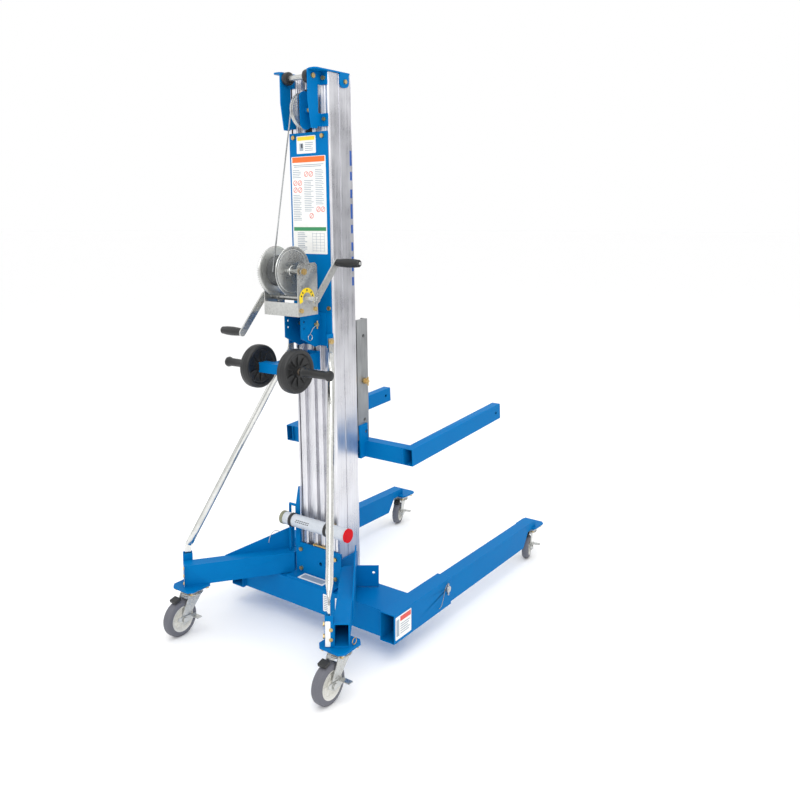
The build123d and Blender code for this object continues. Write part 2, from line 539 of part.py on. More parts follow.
# ---- loading wheels and manual tube -------------------------------------------------------------
def make_loading_gear():
    """Two wheels behind the mast, used to roll the lift up a tailgate, and their carrier."""
    half = LOAD_WHEEL_X0 - 4
    carrier = block(-half, half, AXLE_Y - 17, AXLE_Y + 17, AXLE_Z - 17, AXLE_Z + 17)
    carrier -= block(-80, 80, AXLE_Y - 13, AXLE_Y + 13, AXLE_Z - 20, AXLE_Z + 13)
    carrier += block(-28, 28, -6.6, -PAINT_GAP, AXLE_Z - 34, AXLE_Z + 34)
    for side in (1, -1):
        arm = Polyline((AXLE_Y - 14, AXLE_Z - 14), (-6, AXLE_Z - 30), (-6, AXLE_Z + 30),
                       (AXLE_Y - 14, AXLE_Z + 16), close=True)
        carrier += extrude(Plane.YZ.offset(side * 20 - 2.5) * make_face(arm), 5)
        carrier += x_bar(side * (half - 4), side * half, AXLE_Y, AXLE_Z, 15)
    carrier -= x_bar(-80, 80, AXLE_Y, AXLE_Z, 8)
    add("loading_carrier", lean(carrier))
    axle = x_bar(-232, 232, AXLE_Y, AXLE_Z, 8)
    for side in (1, -1):
        axle += x_bar(side * 117, side * 240, AXLE_Y, AXLE_Z, 13)
    add("loading_axle", lean(axle))
    for side, node in ((1, "right_loading_wheel"), (-1, "left_loading_wheel")):
        wheel = x_bar(side * LOAD_WHEEL_X0, side * LOAD_WHEEL_X1, AXLE_Y, AXLE_Z, LOAD_WHEEL_R)
        wheel -= x_bar(side * (LOAD_WHEEL_X1 - 9), side * (LOAD_WHEEL_X1 + 5), AXLE_Y, AXLE_Z,
                       LOAD_WHEEL_R - 15)
        wheel += x_bar(side * (LOAD_WHEEL_X1 - 12), side * LOAD_WHEEL_X1, AXLE_Y, AXLE_Z, 20)
        wheel -= x_bar(side * 60, side * 120, AXLE_Y, AXLE_Z, 8 + FIT)
        add(node, lean(wheel))


def make_manual_tube():
    tube = x_bar(MANUAL_X0, MANUAL_X1, MANUAL_Y, MANUAL_Z, MANUAL_R)
    tube -= x_bar(MANUAL_X0 + 6, MANUAL_X1 + 1, MANUAL_Y, MANUAL_Z, MANUAL_R - 2)
    add("manual_tube", lean(tube))
    cap = x_bar(MANUAL_X1 + 0.3, MANUAL_X1 + 7, MANUAL_Y, MANUAL_Z, MANUAL_R + 1.5)
    cap += x_bar(MANUAL_X1 - 14, MANUAL_X1 + 4, MANUAL_Y, MANUAL_Z, MANUAL_R - 2 - FIT)
    add("manual_tube_cap", lean(cap))
    for x, back in ((MANUAL_X0 + 48, -7 - PAINT_GAP), (MANUAL_X1 - 88, -PAINT_GAP)):
        strap = x_bar(x - 6, x + 6, MANUAL_Y, MANUAL_Z, MANUAL_R + 2)
        strap += block(x - 6, x + 6, MANUAL_Y, back, MANUAL_Z - 8, MANUAL_Z + 8)
        strap -= x_bar(x - 10, x + 10, MANUAL_Y, MANUAL_Z, MANUAL_R)
        add("fixings", lean(strap))


# ---- casters ------------------------------------------------------------------------------------
def place_caster(shape, data, side):
    turn = data["turn"]
    return Pos(side * data["x"], data["y"], 0) * Rot(0, 0, turn) * shape


def make_caster(data, side, name):
    """Swivel fork that trails towards -Y, wheel with tyre and hub, and a toe brake."""
    r, top, trail, width = data["r"], data["top"], data["trail"], data["width"]
    mount = block(-48, 48, -44, 44, top - 4.5, top)
    mount += Pos(0, 0, top - 10) * Cylinder(32, 12)
    add("caster_mounts", place_caster(mount, dict(data, turn=0), side))
    crown_z = top - 17
    gap = width / 2 + 2.5
    fork = Pos(0, 0, crown_z - 2) * Cylinder(34, 5)
    fork += block(-gap - 3, gap + 3, -34, 20, crown_z - 4.5, crown_z)
    for s in (1, -1):
        cheek = Polyline((22, crown_z), (-34, crown_z), (-trail - 16, r - 4), (-trail, r - 16),
                         (-trail + 16, r - 4), (22, crown_z - 14), close=True)
        x0 = min(s * gap, s * (gap + 3))
        fork += extrude(Plane.YZ.offset(x0) * make_face(cheek), 3)
    axle_r = 6.0
    fork += x_bar(-gap - 3, gap + 3, -trail, r, axle_r)
    fork += hexagon((gap + 3, -trail, r), (gap + 11.5, -trail, r), 17)
    fork += hexagon((-gap - 9, -trail, r), (-gap - 3, -trail, r), 17)
    add(name + "_fork", place_caster(fork, data, side))
    half = width / 2
    tyre = x_bar(-half, half, -trail, r, r)
    tyre = fillet(tyre.edges().filter_by(GeomType.CIRCLE), 6)
    tyre -= x_bar(-half - 1, half + 1, -trail, r, 0.68 * r)
    hub = x_bar(-half + 2, half - 2, -trail, r, 0.68 * r)
    hub -= x_bar(half - 6, half, -trail, r, 0.56 * r) + x_bar(-half, -half + 6, -trail, r, 0.56 * r)
    hub += x_bar(-half - 1, half + 1, -trail, r, 13)
    hub -= x_bar(-half - 3, half + 3, -trail, r, axle_r + FIT)
    add(name + "_wheel", place_caster(tyre, data, side), place_caster(hub, data, side))
    x0 = gap + 3.4
    lever_face = Polyline((-trail - 26, r + 14), (-trail - 30, r + 4), (-trail, r - 14),
                          (-trail + 30, r - 12), (-trail + 52, r - 2), (-trail + 50, r + 6), (-trail + 20, r + 10), close=True)
    lever = extrude(Plane.YZ.offset(x0) * make_face(lever_face), 3)
    lever += block(x0, x0 + 32, -trail + 34, -trail + 54, r - 3, r)
    lever -= x_bar(x0 - 3, x0 + 6, -trail, r, 10)
    add(name + "_brake", place_caster(lever, data, side))


# ---- fixings and cords --------------------------------------------------------------------------
def y_bolt(x, y, z, across=14.0, head=6.5):
    """Bolt head on a face that looks towards -Y, in the mast's own frame."""
    return lean(hexagon((x, y - head, z), (x, y, z), across))


def x_bolt(x, y, z, side, across=14.0, head=6.0):
    return lean(hexagon((x, y, z), (x + side * head, y, z), across))


def make_fixings():
    for side in (1, -1):
        for z in (192, 266):
            add("fixings", y_bolt(side * 83, -7, z))
        add("fixings", y_bolt(side * 66, -5.6, 1772), y_bolt(side * 80, -5.6, 1180),
            y_bolt(side * 77, -5.6, 1962), y_bolt(side * 77, -5.6, 1826, 12))
        add("fixings", x_bolt(side * 97.8, -19, 1066, side, 16, 5))
        add("fixings", x_bolt(side * (MAST_HALF + 6), 80, 1957, side))
        add("fixings", x_bolt(22.0 if side > 0 else -9.0, SHEAVE_Y, SHEAVE_Z, side, 14, 6))
        add("fixings", x_bolt(side * BRACKET_X, ROLLER_Y, ROLLER_Z, side, 16, 6))
        add("fixings", lean(x_bar(side * (BRACKET_X - 5), side * BRACKET_X, ROLLER_Y, ROLLER_Z, 6)))
        add("fixings", x_bolt(side * (SIDE_X + 9), DRUM_Y, DRUM_Z, side, 19, 8))
        add("fixings", x_bolt(side * (SIDE_X + SIDE_T), SIDE_Y0 + 14, 1186, side, 14, 6),
            x_bolt(side * (SIDE_X + SIDE_T), SIDE_Y1 - 14, 1186, side, 14, 6))
        plane, _ = rear_leg_frame(side)
        inner = side if plane.x_dir.X * side < 0 else -side
        for z in (196, 236):
            at = plane.origin + plane.x_dir * (inner * (REAR_LEG_WIDTH / 2 + 26.3)) + plane.z_dir * 19
            tip = at + plane.x_dir * (inner * 6.5)
            add("fixings", hexagon((at.X, at.Y, z), (tip.X, tip.Y, z), 13))
        for data in (REAR_CASTER, FRONT_CASTER):
            for bx in (-38, 38):
                for by in (-36, 36):
                    cx, cy = side * data["x"] + bx, data["y"] + by
                    add("fixings", hexagon((cx, cy, data["top"] - 11), (cx, cy, data["top"] - 4.6), 13))
    roller_axle = lean(x_bar(-BRACKET_X + 5, BRACKET_X - 5, ROLLER_Y, ROLLER_Z, 6))
    winch_pin = x_bar(-CHEEK_X - 12, CHEEK_X + 16, PIN_Y, PIN_Z, 6)
    winch_pin += rod((CHEEK_X + 12, PIN_Y, PIN_Z - 14), (CHEEK_X + 12, PIN_Y, PIN_Z + 14), 3)
    foot_pin = x_bar(-16, 60, -6, 296.5, 3) + x_bar(-21, -15, -6, 296.5, 5)
    add("fixings", roller_axle, lean(winch_pin), lean(foot_pin))


LEG_LANYARD = [(394.5, -118, 86), (402, -116, 92), (406, -108, 122), (405, -96, 152), (404, -80, 166),
               (401, -66, 160)]
GUSSET_LANYARD = [(-180, -318, 283), (-186, -330, 305), (-190, -345, 319), (-196, -362, 317),
                  (-200, -376, 299), (-196, -384, 281)]


def make_cords():
    add("leg_lanyard", path_tube(LEG_LANYARD, 1.2, 0.45))
    add("gusset_lanyard", path_tube(GUSSET_LANYARD, 1.2, 0.45))


# ---- build --------------------------------------------------------------------------------------
make_beam()
for side, name in ((1, "right"), (-1, "left")):
    add(name + "_leg_socket", make_socket(side))
    add(name + "_front_leg", make_front_leg(side))
    add(name + "_leg_pin", make_leg_pin(side))
    add(name + "_rear_leg", make_rear_leg(side))
    add("brace_feet", make_brace_foot(side))
    add("braces", make_brace(side))
    add("top_brackets", make_top_bracket(side))
    add("carriage_uprights", make_upright(side))
    make_caster(REAR_CASTER, side, "rear_" + name)
    make_caster(FRONT_CASTER, side, "front_" + name)
add("mast_foot", make_mast_foot() + make_hold_down())
add("outer_mast", make_outer_mast())
add("inner_mast", make_inner_mast())
add("top_brackets", make_sheave_guard())
add("back_plate", make_back_plate())
add("winch_bracket", make_winch_bracket())
add("winch_frame", make_winch_frame())
add("top_roller", make_top_roller())
add("carriage", make_carriage())
add("fork_pin", make_fork_pin())
make_forks()
make_sheaves()
make_winch()
make_cables()
make_loading_gear()
make_manual_tube()
make_fixings()
make_cords()

os.makedirs("parts", exist_ok=True)
for node, shapes in parts.items():
    solids = [solid for shape in shapes for solid in shape.solids()]
    export_step(solids[0] if len(solids) == 1 else Compound(children=solids), f"parts/{node}.step")
print(len(parts), "nodes")
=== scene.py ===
"""Hand-winch material lift: finishes, moulded and turned pieces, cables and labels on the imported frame."""
import json
import math

import bmesh
import bpy
from mathutils import Matrix, Vector


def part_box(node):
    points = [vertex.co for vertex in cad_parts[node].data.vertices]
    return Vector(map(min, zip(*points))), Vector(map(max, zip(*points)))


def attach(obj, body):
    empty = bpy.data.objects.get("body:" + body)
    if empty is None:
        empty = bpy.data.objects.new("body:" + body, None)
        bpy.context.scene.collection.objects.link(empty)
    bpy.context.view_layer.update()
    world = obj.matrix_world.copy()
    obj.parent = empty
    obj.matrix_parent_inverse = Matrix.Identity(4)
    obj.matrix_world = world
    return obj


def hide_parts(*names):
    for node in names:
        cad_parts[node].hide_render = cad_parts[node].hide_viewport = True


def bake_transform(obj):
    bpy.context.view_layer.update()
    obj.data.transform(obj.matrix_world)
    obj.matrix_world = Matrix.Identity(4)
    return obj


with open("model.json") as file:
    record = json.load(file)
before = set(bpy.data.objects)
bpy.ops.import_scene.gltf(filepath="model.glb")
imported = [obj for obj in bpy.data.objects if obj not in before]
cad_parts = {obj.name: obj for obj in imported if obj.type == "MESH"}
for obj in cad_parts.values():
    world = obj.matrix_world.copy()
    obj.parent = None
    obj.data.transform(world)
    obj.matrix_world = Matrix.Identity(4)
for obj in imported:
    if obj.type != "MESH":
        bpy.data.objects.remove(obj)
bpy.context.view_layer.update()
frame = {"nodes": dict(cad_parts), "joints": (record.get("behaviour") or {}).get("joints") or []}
nodes = frame["nodes"]
joints = {joint["name"]: joint for joint in frame["joints"]}

# ---- camera and wire lanyards --------------------------------------------------------------------
# The camera stands behind the machine on the operator's right, at chest height. The two lanyards are
# free lengths of 2.4 mm galvanised wire: one keeps the snap pin on its socket, one loops at the gusset.
camera = bpy.data.objects.new("camera", bpy.data.cameras.new("camera"))
bpy.context.collection.objects.link(camera)
camera.location = (1.861, -2.41, 1.465)
camera.rotation_euler = (math.radians(90 - 5.68), 0, math.radians(35.6))
camera.data.lens = 35.3
camera.data.sensor_width = 36
camera.data.shift_y = -0.12
bpy.context.scene.camera = camera


def linear(code):
    """An sRGB hex colour as linear RGBA."""
    channels = [int(code[i:i + 2], 16) / 255 for i in (1, 3, 5)]
    return [c / 12.92 if c <= 0.04045 else ((c + 0.055) / 1.055) ** 2.4 for c in channels] + [1.0]


def add_node(tree, kind, links=(), **settings):
    """A shader node with its settings; links are (input name, source node, output name)."""
    made = tree.nodes.new(kind)
    for name, value in settings.items():
        if hasattr(made, name):
            setattr(made, name, value)
        else:
            made.inputs[name.replace("_", " ")].default_value = value
    for socket, source, output in links:
        tree.links.new(source.outputs[output], made.inputs[socket])
    return made


def finish_of(name, light, dark, grain_mm, stretch=(1, 1, 1), metal=0.0, gloss=(0.3, 0.45), bump_mm=0.02,
              shine=0.5):
    """A finish whose tone, gloss and relief follow one grain of a real size, drawn out along stretch."""
    made = bpy.data.materials.new(name)
    made.use_nodes = True
    tree = made.node_tree
    shader = tree.nodes["Principled BSDF"]
    shader.inputs["Metallic"].default_value = metal
    shader.inputs["Specular IOR Level"].default_value = shine
    where = add_node(tree, "ShaderNodeTexCoord")
    scaled = add_node(tree, "ShaderNodeMapping", [("Vector", where, "Object")], Scale=stretch)
    grain = add_node(tree, "ShaderNodeTexNoise", [("Vector", scaled, "Vector")],
                     Scale=1000 / grain_mm, Detail=3.0)
    broad = add_node(tree, "ShaderNodeTexNoise", [("Vector", where, "Object")], Scale=9.0, Detail=2.0)
    both = add_node(tree, "ShaderNodeMath", [(0, grain, "Fac"), (1, broad, "Fac")], operation="ADD")
    tone = add_node(tree, "ShaderNodeValToRGB")
    half = add_node(tree, "ShaderNodeMath", [(0, both, "Value")], operation="MULTIPLY")
    half.inputs[1].default_value = 0.5
    tree.links.new(half.outputs["Value"], tone.inputs["Fac"])
    tone.color_ramp.elements[0].position, tone.color_ramp.elements[1].position = 0.36, 0.64
    tone.color_ramp.elements[0].color, tone.color_ramp.elements[1].color = linear(dark), linear(light)
    rough = add_node(tree, "ShaderNodeMapRange", [("Value", half, "Value")])
    rough.inputs["From Min"].default_value, rough.inputs["From Max"].default_value = 0.35, 0.65
    rough.inputs["To Min"].default_value, rough.inputs["To Max"].default_value = gloss
    relief = add_node(tree, "ShaderNodeBump", [("Height", grain, "Fac")], Strength=0.6,
                      Distance=bump_mm / 1000)
    tree.links.new(tone.outputs["Color"], shader.inputs["Base Color"])
    tree.links.new(rough.outputs["Result"], shader.inputs["Roughness"])
    tree.links.new(relief.outputs["Normal"], shader.inputs["Normal"])
    return made


# galvanised wire rope: dull zinc with short bright flashes where the strands turn
rope_wire = finish_of("galvanised_wire_rope", "#c9cbcc", "#6f7274", 1.6, stretch=(1, 1, 0.45), metal=0.85,
                      gloss=(0.3, 0.5), bump_mm=0.3)


def wire(name, points, radius, body, material):
    """A smooth round wire whose NURBS line has these control points."""
    curve = bpy.data.curves.new(name, "CURVE")
    curve.dimensions = "3D"
    curve.bevel_depth = radius
    curve.bevel_resolution = 3
    curve.resolution_u = 8
    curve.use_fill_caps = True
    line = curve.splines.new("NURBS")
    line.points.add(len(points) - 1)
    for point, place in zip(line.points, points):
        point.co = (*place, 1)
    line.order_u = 3
    line.use_endpoint_u = True
    curve.materials.append(material)
    made = bpy.data.objects.new(name, curve)
    bpy.context.collection.objects.link(made)
    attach(made, body)
    return made


LEG_LANYARD = [(0.3945, -0.118, 0.086), (0.402, -0.116, 0.092), (0.406, -0.108, 0.122),
               (0.405, -0.096, 0.152), (0.404, -0.080, 0.166), (0.401, -0.066, 0.160)]
GUSSET_LANYARD = [(-0.180, -0.318, 0.283), (-0.186, -0.330, 0.305), (-0.190, -0.345, 0.319),
                  (-0.196, -0.362, 0.317), (-0.200, -0.376, 0.299), (-0.196, -0.384, 0.281)]
for node_name, route, real_length in (("leg_lanyard", LEG_LANYARD, 0.105),
                                      ("gusset_lanyard", GUSSET_LANYARD, 0.103)):
    lanyard = wire(node_name + "_wire", route, 0.0012, "base", rope_wire)
    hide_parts(node_name)

# ---- studio --------------------------------------------------------------------------------------
# A white floor and sky with soft overhead and side light. Tall grey cards stand off camera, so that
# the polished extrusions have something darker to reflect.
bpy.ops.mesh.primitive_plane_add(size=400)
floor = bpy.context.object
floor.name = "studio_floor"
floor.data.materials.append(finish_of("studio_floor_paint", "#ffffff", "#ffffff", 60, gloss=(0.8, 0.85),
                                      shine=0.1))
world = bpy.data.worlds.new("studio")
world.use_nodes = True
world.node_tree.nodes["Background"].inputs["Color"].default_value = linear("#ffffff")
world.node_tree.nodes["Background"].inputs["Strength"].default_value = 1.0
bpy.context.scene.world = world
bpy.context.scene.view_settings.view_transform = "Standard"
LAMPS = (("key", (2.6, -3.4, 3.6), 2.2, 62), ("fill", (-3.4, -2.0, 2.6), 2.6, 14),
         ("front", (1.0, 3.6, 3.2), 2.4, 26), ("top", (0.3, -0.9, 4.6), 3.0, 40))
LIT_HEIGHT = 0.9
for lamp_name, place, size, power in LAMPS:
    lamp = bpy.data.objects.new(lamp_name, bpy.data.lights.new(lamp_name, "AREA"))
    bpy.context.collection.objects.link(lamp)
    lamp.location = place
    lamp.rotation_euler = (Vector((0, 0, LIT_HEIGHT)) - Vector(place)).to_track_quat("-Z", "Y").to_euler()
    lamp.data.size, lamp.data.energy = size, power
card_paint = finish_of("grey_card", "#6d6f75", "#666870", 60, gloss=(0.9, 0.95), shine=0.0)
CARDS = (("side_card", (4.4, 5.6, 1.4), -38, 2.6), ("left_card", (-4.6, -1.4, 1.4), 74, 1.5),
         ("rear_card", (0.55, -5.6, 1.4), 0, 0.7))
CARD_HEIGHT = 3.4
for card_name, place, turn, width in CARDS:
    bpy.ops.mesh.primitive_plane_add(size=1)
    card = bpy.context.object
    card.name = card_name
    card.scale = (width, CARD_HEIGHT, 1)
    card.location = place
    card.rotation_euler = (math.radians(90), 0, math.radians(turn))
    card.data.materials.append(card_paint)

# ---- painted steel base, forks and brackets ------------------------------------------------------
# Welded rectangular tube and folded plate. The whole weldment is powder coated a bright blue, which
# gives a soft gloss, a faint orange peel and slightly rounded edges where the tube was rolled.
blue_coat = finish_of("blue_powder_coat", "#0071b2", "#006bad", 3.0, gloss=(0.34, 0.44), bump_mm=0.006,
                      shine=0.04)


def dress(material, names, edge_mm=0.0):
    """Gives CAD pieces a finish, and rounds their sharp edges by edge_mm."""
    for name in names:
        piece = nodes[name]
        if piece.material_slots:
            for place in piece.material_slots:
                place.material = material
        else:
            piece.data.materials.append(material)
        if edge_mm:
            weld = piece.modifiers.new("weld", "WELD")
            weld.merge_threshold = 0.00001
            bevel = piece.modifiers.new("edges", "BEVEL")
            bevel.width = edge_mm / 1000
            bevel.segments = 2
            bevel.limit_method = "ANGLE"
            bevel.angle_limit = math.radians(40)
            bevel.harden_normals = True


SIDES = (("right", 1), ("left", -1))
dress(blue_coat, ["cross_beam"] + [side + part for side, _ in SIDES
                                   for part in ("_leg_socket", "_front_leg", "_rear_leg", "_fork")], 2.0)
dress(blue_coat, ["fork_crossbar", "mast_foot", "back_plate", "top_brackets", "winch_bracket",
                  "loading_carrier", "brace_feet"], 0.8)


def settle(name, shape, materials, body=None, place=Matrix()):
    """Makes a finished shape an object at the origin, with its place in its mesh, riding on a body."""
    mesh = bpy.data.meshes.new(name)
    shape.to_mesh(mesh)
    shape.free()
    mesh.transform(place)
    for material in materials:
        mesh.materials.append(material)
    made = bpy.data.objects.new(name, mesh)
    bpy.context.collection.objects.link(made)
    if body:
        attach(made, body)
    return made


BEAD_R, BEAD_HALF, BEAD_PITCH = 0.0032, 0.0045, 0.006


def weld_bead(name, points, body):
    """A rippled fillet of weld metal under the paint, along straight runs between points."""
    shape = bmesh.new()
    ripple = Matrix.Diagonal((BEAD_R, BEAD_R, BEAD_HALF, 1))
    for start, end in zip(points, points[1:]):
        start, end = Vector(start), Vector(end)
        count = max(2, int((end - start).length / BEAD_PITCH))
        turn = (end - start).to_track_quat("Z", "X").to_matrix().to_4x4()
        for step in range(count):
            middle = start.lerp(end, (step + 0.5) / count)
            bmesh.ops.create_icosphere(shape, subdivisions=2, radius=1,
                                       matrix=Matrix.Translation(middle) @ turn @ ripple)
    for face in shape.faces:
        face.smooth = True
    settle(name, shape, [blue_coat], body)


beam_low, beam_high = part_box("cross_beam")
bar_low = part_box("fork_crossbar")[0]
for side, sign in SIDES:
    socket_low, socket_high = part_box(side + "_leg_socket")
    inner = socket_low[0] if sign > 0 else socket_high[0]
    weld_bead(side + "_socket_weld", [(inner, beam_low[1], beam_low[2]), (inner, beam_low[1], beam_high[2]),
                                      (inner, beam_high[1], beam_high[2])], "base")
    fork_low, fork_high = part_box(side + "_fork")
    edge = fork_low[0] if sign > 0 else fork_high[0]
    weld_bead(side + "_fork_weld", [(edge, bar_low[1] + 0.032, bar_low[2] + 0.006),
                                    (edge, bar_low[1] + 0.028, bar_low[2] + 0.062)], "carriage")

# ---- mast column and inner stage -----------------------------------------------------------------
# Two nested 6063 aluminium extrusions, mill finished. The die leaves fine lines along the length, so
# the metal is streaked upwards and reflects in long soft bands.
LEAN = math.radians(1.2)
FOOT_Y, FOOT_Z = -0.318, 0.168
LEANED = (Matrix.Translation((0, FOOT_Y, FOOT_Z)) @ Matrix.Rotation(LEAN, 4, "X")
          @ Matrix.Translation((0, 0, -FOOT_Z)))
mill_aluminium = finish_of("mill_finish_aluminium", "#e6e6ea", "#c9c9ce", 3.0, stretch=(1, 1, 0.012),
                           metal=0.9, gloss=(0.24, 0.36), bump_mm=0.012)
dress(mill_aluminium, ["outer_mast", "inner_mast"])
dull_aluminium = finish_of("dull_aluminium", "#a8aaab", "#868889", 4.0, stretch=(1, 1, 0.05), metal=0.8,
                           gloss=(0.4, 0.55), bump_mm=0.03)
dress(dull_aluminium, ["carriage", "carriage_uprights"], 0.6)

# ---- plated steel --------------------------------------------------------------------------------
# Pressed and turned steel with bright zinc plate: winch frame, cranks and caster forks. The plate is
# faintly mottled. The brace tubes are smoother. Bolts are yellow chromated, which turns them gold.
bright_zinc = finish_of("bright_zinc_plate", "#cbccc9", "#b3b4b2", 7.0, metal=0.85, gloss=(0.24, 0.38),
                        bump_mm=0.006)
polished_zinc = finish_of("polished_zinc_tube", "#dfdfdc", "#cbccc8", 12.0, metal=1.0, gloss=(0.12, 0.2),
                          bump_mm=0.004)
yellow_chromate = finish_of("yellow_chromate_zinc", "#dcc084", "#b7965a", 5.0, metal=0.85,
                            gloss=(0.28, 0.42))
dress(polished_zinc, ["braces"], 0.4)
dress(bright_zinc, ["caster_mounts", "winch_frame", "crankshaft", "right_crank", "left_crank",
                    "mast_sheave", "head_sheave", "foot_sheave", "right_leg_pin", "left_leg_pin",
                    "loading_axle", "drum_gear"], 0.4)
CASTERS = [end + "_" + side for end in ("rear", "front") for side, _ in SIDES]
dress(bright_zinc, [name + part for name in CASTERS for part in ("_fork", "_brake")], 0.5)
dress(yellow_chromate, ["fixings", "fork_pin"], 0.5)

# ---- winch drum ----------------------------------------------------------------------------------
# Two pressed flanges on a core tube. Each has a flat web, two rings pressed close to its rolled rim,
# and zinc plate like the frame.
DRUM_HALF, FLANGE_R, FLANGE_SHEET = 0.041, 0.084, 0.0025
CORE_R, BORE_R = 0.032, 0.0083
SHARP_TURN = math.radians(32)


def turned(name, outline, place, body, materials, pick=None, steps=72):
    """A piece turned about the X axis from a closed outline of (along, radius), moved by place."""
    shape = bmesh.new()
    corners = [shape.verts.new((along, 0, radius)) for along, radius in outline]
    edges = [shape.edges.new((a, b)) for a, b in zip(corners, corners[1:] + corners[:1])]
    bmesh.ops.spin(shape, geom=corners + edges, cent=(0, 0, 0), axis=(1, 0, 0), angle=2 * math.pi,
                   steps=steps, use_merge=True, use_duplicate=False)
    bmesh.ops.remove_doubles(shape, verts=shape.verts, dist=0.00001)
    bmesh.ops.recalc_face_normals(shape, faces=shape.faces)
    for face in shape.faces:
        middle = face.calc_center_median()
        face.material_index = pick(middle.x, math.hypot(middle.y, middle.z)) if pick else 0
        face.smooth = True
    for line in shape.edges:
        if line.is_manifold and line.calc_face_angle(0) > SHARP_TURN:
            line.smooth = False
    return settle(name, shape, materials, body, place)


def at_joint(name):
    """Moves a turned piece from the origin onto a joint's axis."""
    joint = joints[name]
    turn = Vector((1, 0, 0)).rotation_difference(Vector(joint["axis"])).to_matrix().to_4x4()
    return Matrix.Translation(joint["pos_m"]) @ turn


def both_sides(face):
    """A closed outline: one side from bore to rim, then its mirror image back to the bore."""
    return face + [(-along, radius) for along, radius in face[::-1]]


def flange_side(outside, sheet):
    """Outside of a flange from bore to rim: hub, flat web, two pressed rings and rolled edge."""
    return [(outside, BORE_R), (outside, 0.018), (outside - 0.002, 0.020), (outside - 0.002, 0.0695),
            (outside - 0.0004, 0.0705), (outside, 0.0718), (outside - 0.0004, 0.0731),
            (outside - 0.0022, 0.0742), (outside - 0.0022, 0.0762), (outside - 0.0004, 0.0773),
            (outside, 0.0790), (outside + 0.0005, FLANGE_R - 0.0014), (outside - 0.001, FLANGE_R),
            (outside - sheet, FLANGE_R - 0.001), (outside - 0.006, 0.076), (outside - 0.006, CORE_R)]


drum = turned("drum_shell", both_sides(flange_side(DRUM_HALF, FLANGE_SHEET)), at_joint("drum_spin"),
              "winch_drum", [bright_zinc], steps=96)
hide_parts("winch_drum")

# ---- wound cable and lift cable ------------------------------------------------------------------
# 4.8 mm galvanised rope: layers of turns lie side by side on the drum, then one taut run climbs to the
# mast sheave and goes over it into the column.
ROPE_R = 0.0024
TURNS = 14
WOUND_R, INSIDE = 0.052, 0.034
# Painted shade: the turns wound between the drum flanges get a much darker colour than the free run of the
# same rope.
drum_shade_rope = finish_of("shaded_drum_wire_rope", "#77797a", "#2f3132", 1.6, metal=0.8, gloss=(0.35, 0.55),
                       bump_mm=0.4)
ridge = INSIDE / TURNS
wound_outline = [(-INSIDE, CORE_R)]
for turn in range(TURNS):
    middle = -INSIDE + ridge * (2 * turn + 1)
    for step in range(5):
        angle = math.pi * (1 - step / 4)
        wound_outline.append((middle + ridge * math.cos(angle), WOUND_R - ridge + ridge * math.sin(angle)))
wound_outline.append((INSIDE, CORE_R))
winding = turned("cable_turns", wound_outline, at_joint("drum_spin"), "winch_drum", [drum_shade_rope])
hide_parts("cable_winding")


ROPE_SIDES = 12


def rope_run(name, points):
    """A closed round rope through points, for runs that are straight or go round a sheave."""
    shape = bmesh.new()
    places = [Vector(point) for point in points]
    loop = None
    for index, here in enumerate(places):
        before, after = places[max(index - 1, 0)], places[min(index + 1, len(places) - 1)]
        turn = (after - before).to_track_quat("Z", "X").to_matrix().to_4x4()
        ring = bmesh.ops.create_circle(shape, segments=ROPE_SIDES, radius=ROPE_R,
                                       cap_ends=index in (0, len(places) - 1),
                                       matrix=Matrix.Translation(here) @ turn)["verts"]
        if loop:
            rim = {edge for v in loop + ring for edge in v.link_edges
                   if (edge.verts[0] in loop) == (edge.verts[1] in loop)}
            bmesh.ops.bridge_loops(shape, edges=list(rim))
        loop = ring
    bmesh.ops.recalc_face_normals(shape, faces=shape.faces)
    for face in shape.faces:
        face.smooth = len(face.verts) == 4
    return settle(name, shape, [rope_wire])


SHEAVE_Y, SHEAVE_Z, SHEAVE_RUN = -0.025, 1.858, 0.0606
DRUM_Y, DRUM_Z, DRUM_RUN = -0.140, 1.317, 0.0554
OVER_STEPS = 16
over = [(0, DRUM_Y - DRUM_RUN, DRUM_Z)]
for step in range(OVER_STEPS + 1):
    angle = math.pi * (1 - step / OVER_STEPS)
    over.append((0, SHEAVE_Y + SHEAVE_RUN * math.cos(angle), SHEAVE_Z + SHEAVE_RUN * math.sin(angle)))
over.append((0, SHEAVE_Y + SHEAVE_RUN, SHEAVE_Z - 0.03))
lift_rope = rope_run("lift_rope", [LEANED @ Vector(point) for point in over])
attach(lift_rope, "base")
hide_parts("lift_cable")

# ---- cable runs inside the mast ------------------------------------------------------------------
# One run hangs from the mast sheave to the foot sheave, the other from the head sheave to the
# carriage. Each is drawn as one fixed straight run; in the lift both change length as the stages travel.
RUN_STEPS = 24
for node_name, upper, lower in (("mast_cable", "base", "inner_mast"),
                                ("carriage_cable", "inner_mast", "carriage")):
    low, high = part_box(node_name)
    middle = (low[0] + high[0]) / 2
    top = Vector((middle, low[1] + ROPE_R, high[2]))
    bottom = Vector((middle, high[1] - ROPE_R, low[2]))
    points = [top.lerp(bottom, step / RUN_STEPS) for step in range(RUN_STEPS + 1)]
    run = rope_run(node_name + "_run", points)
    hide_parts(node_name)
    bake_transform(run)

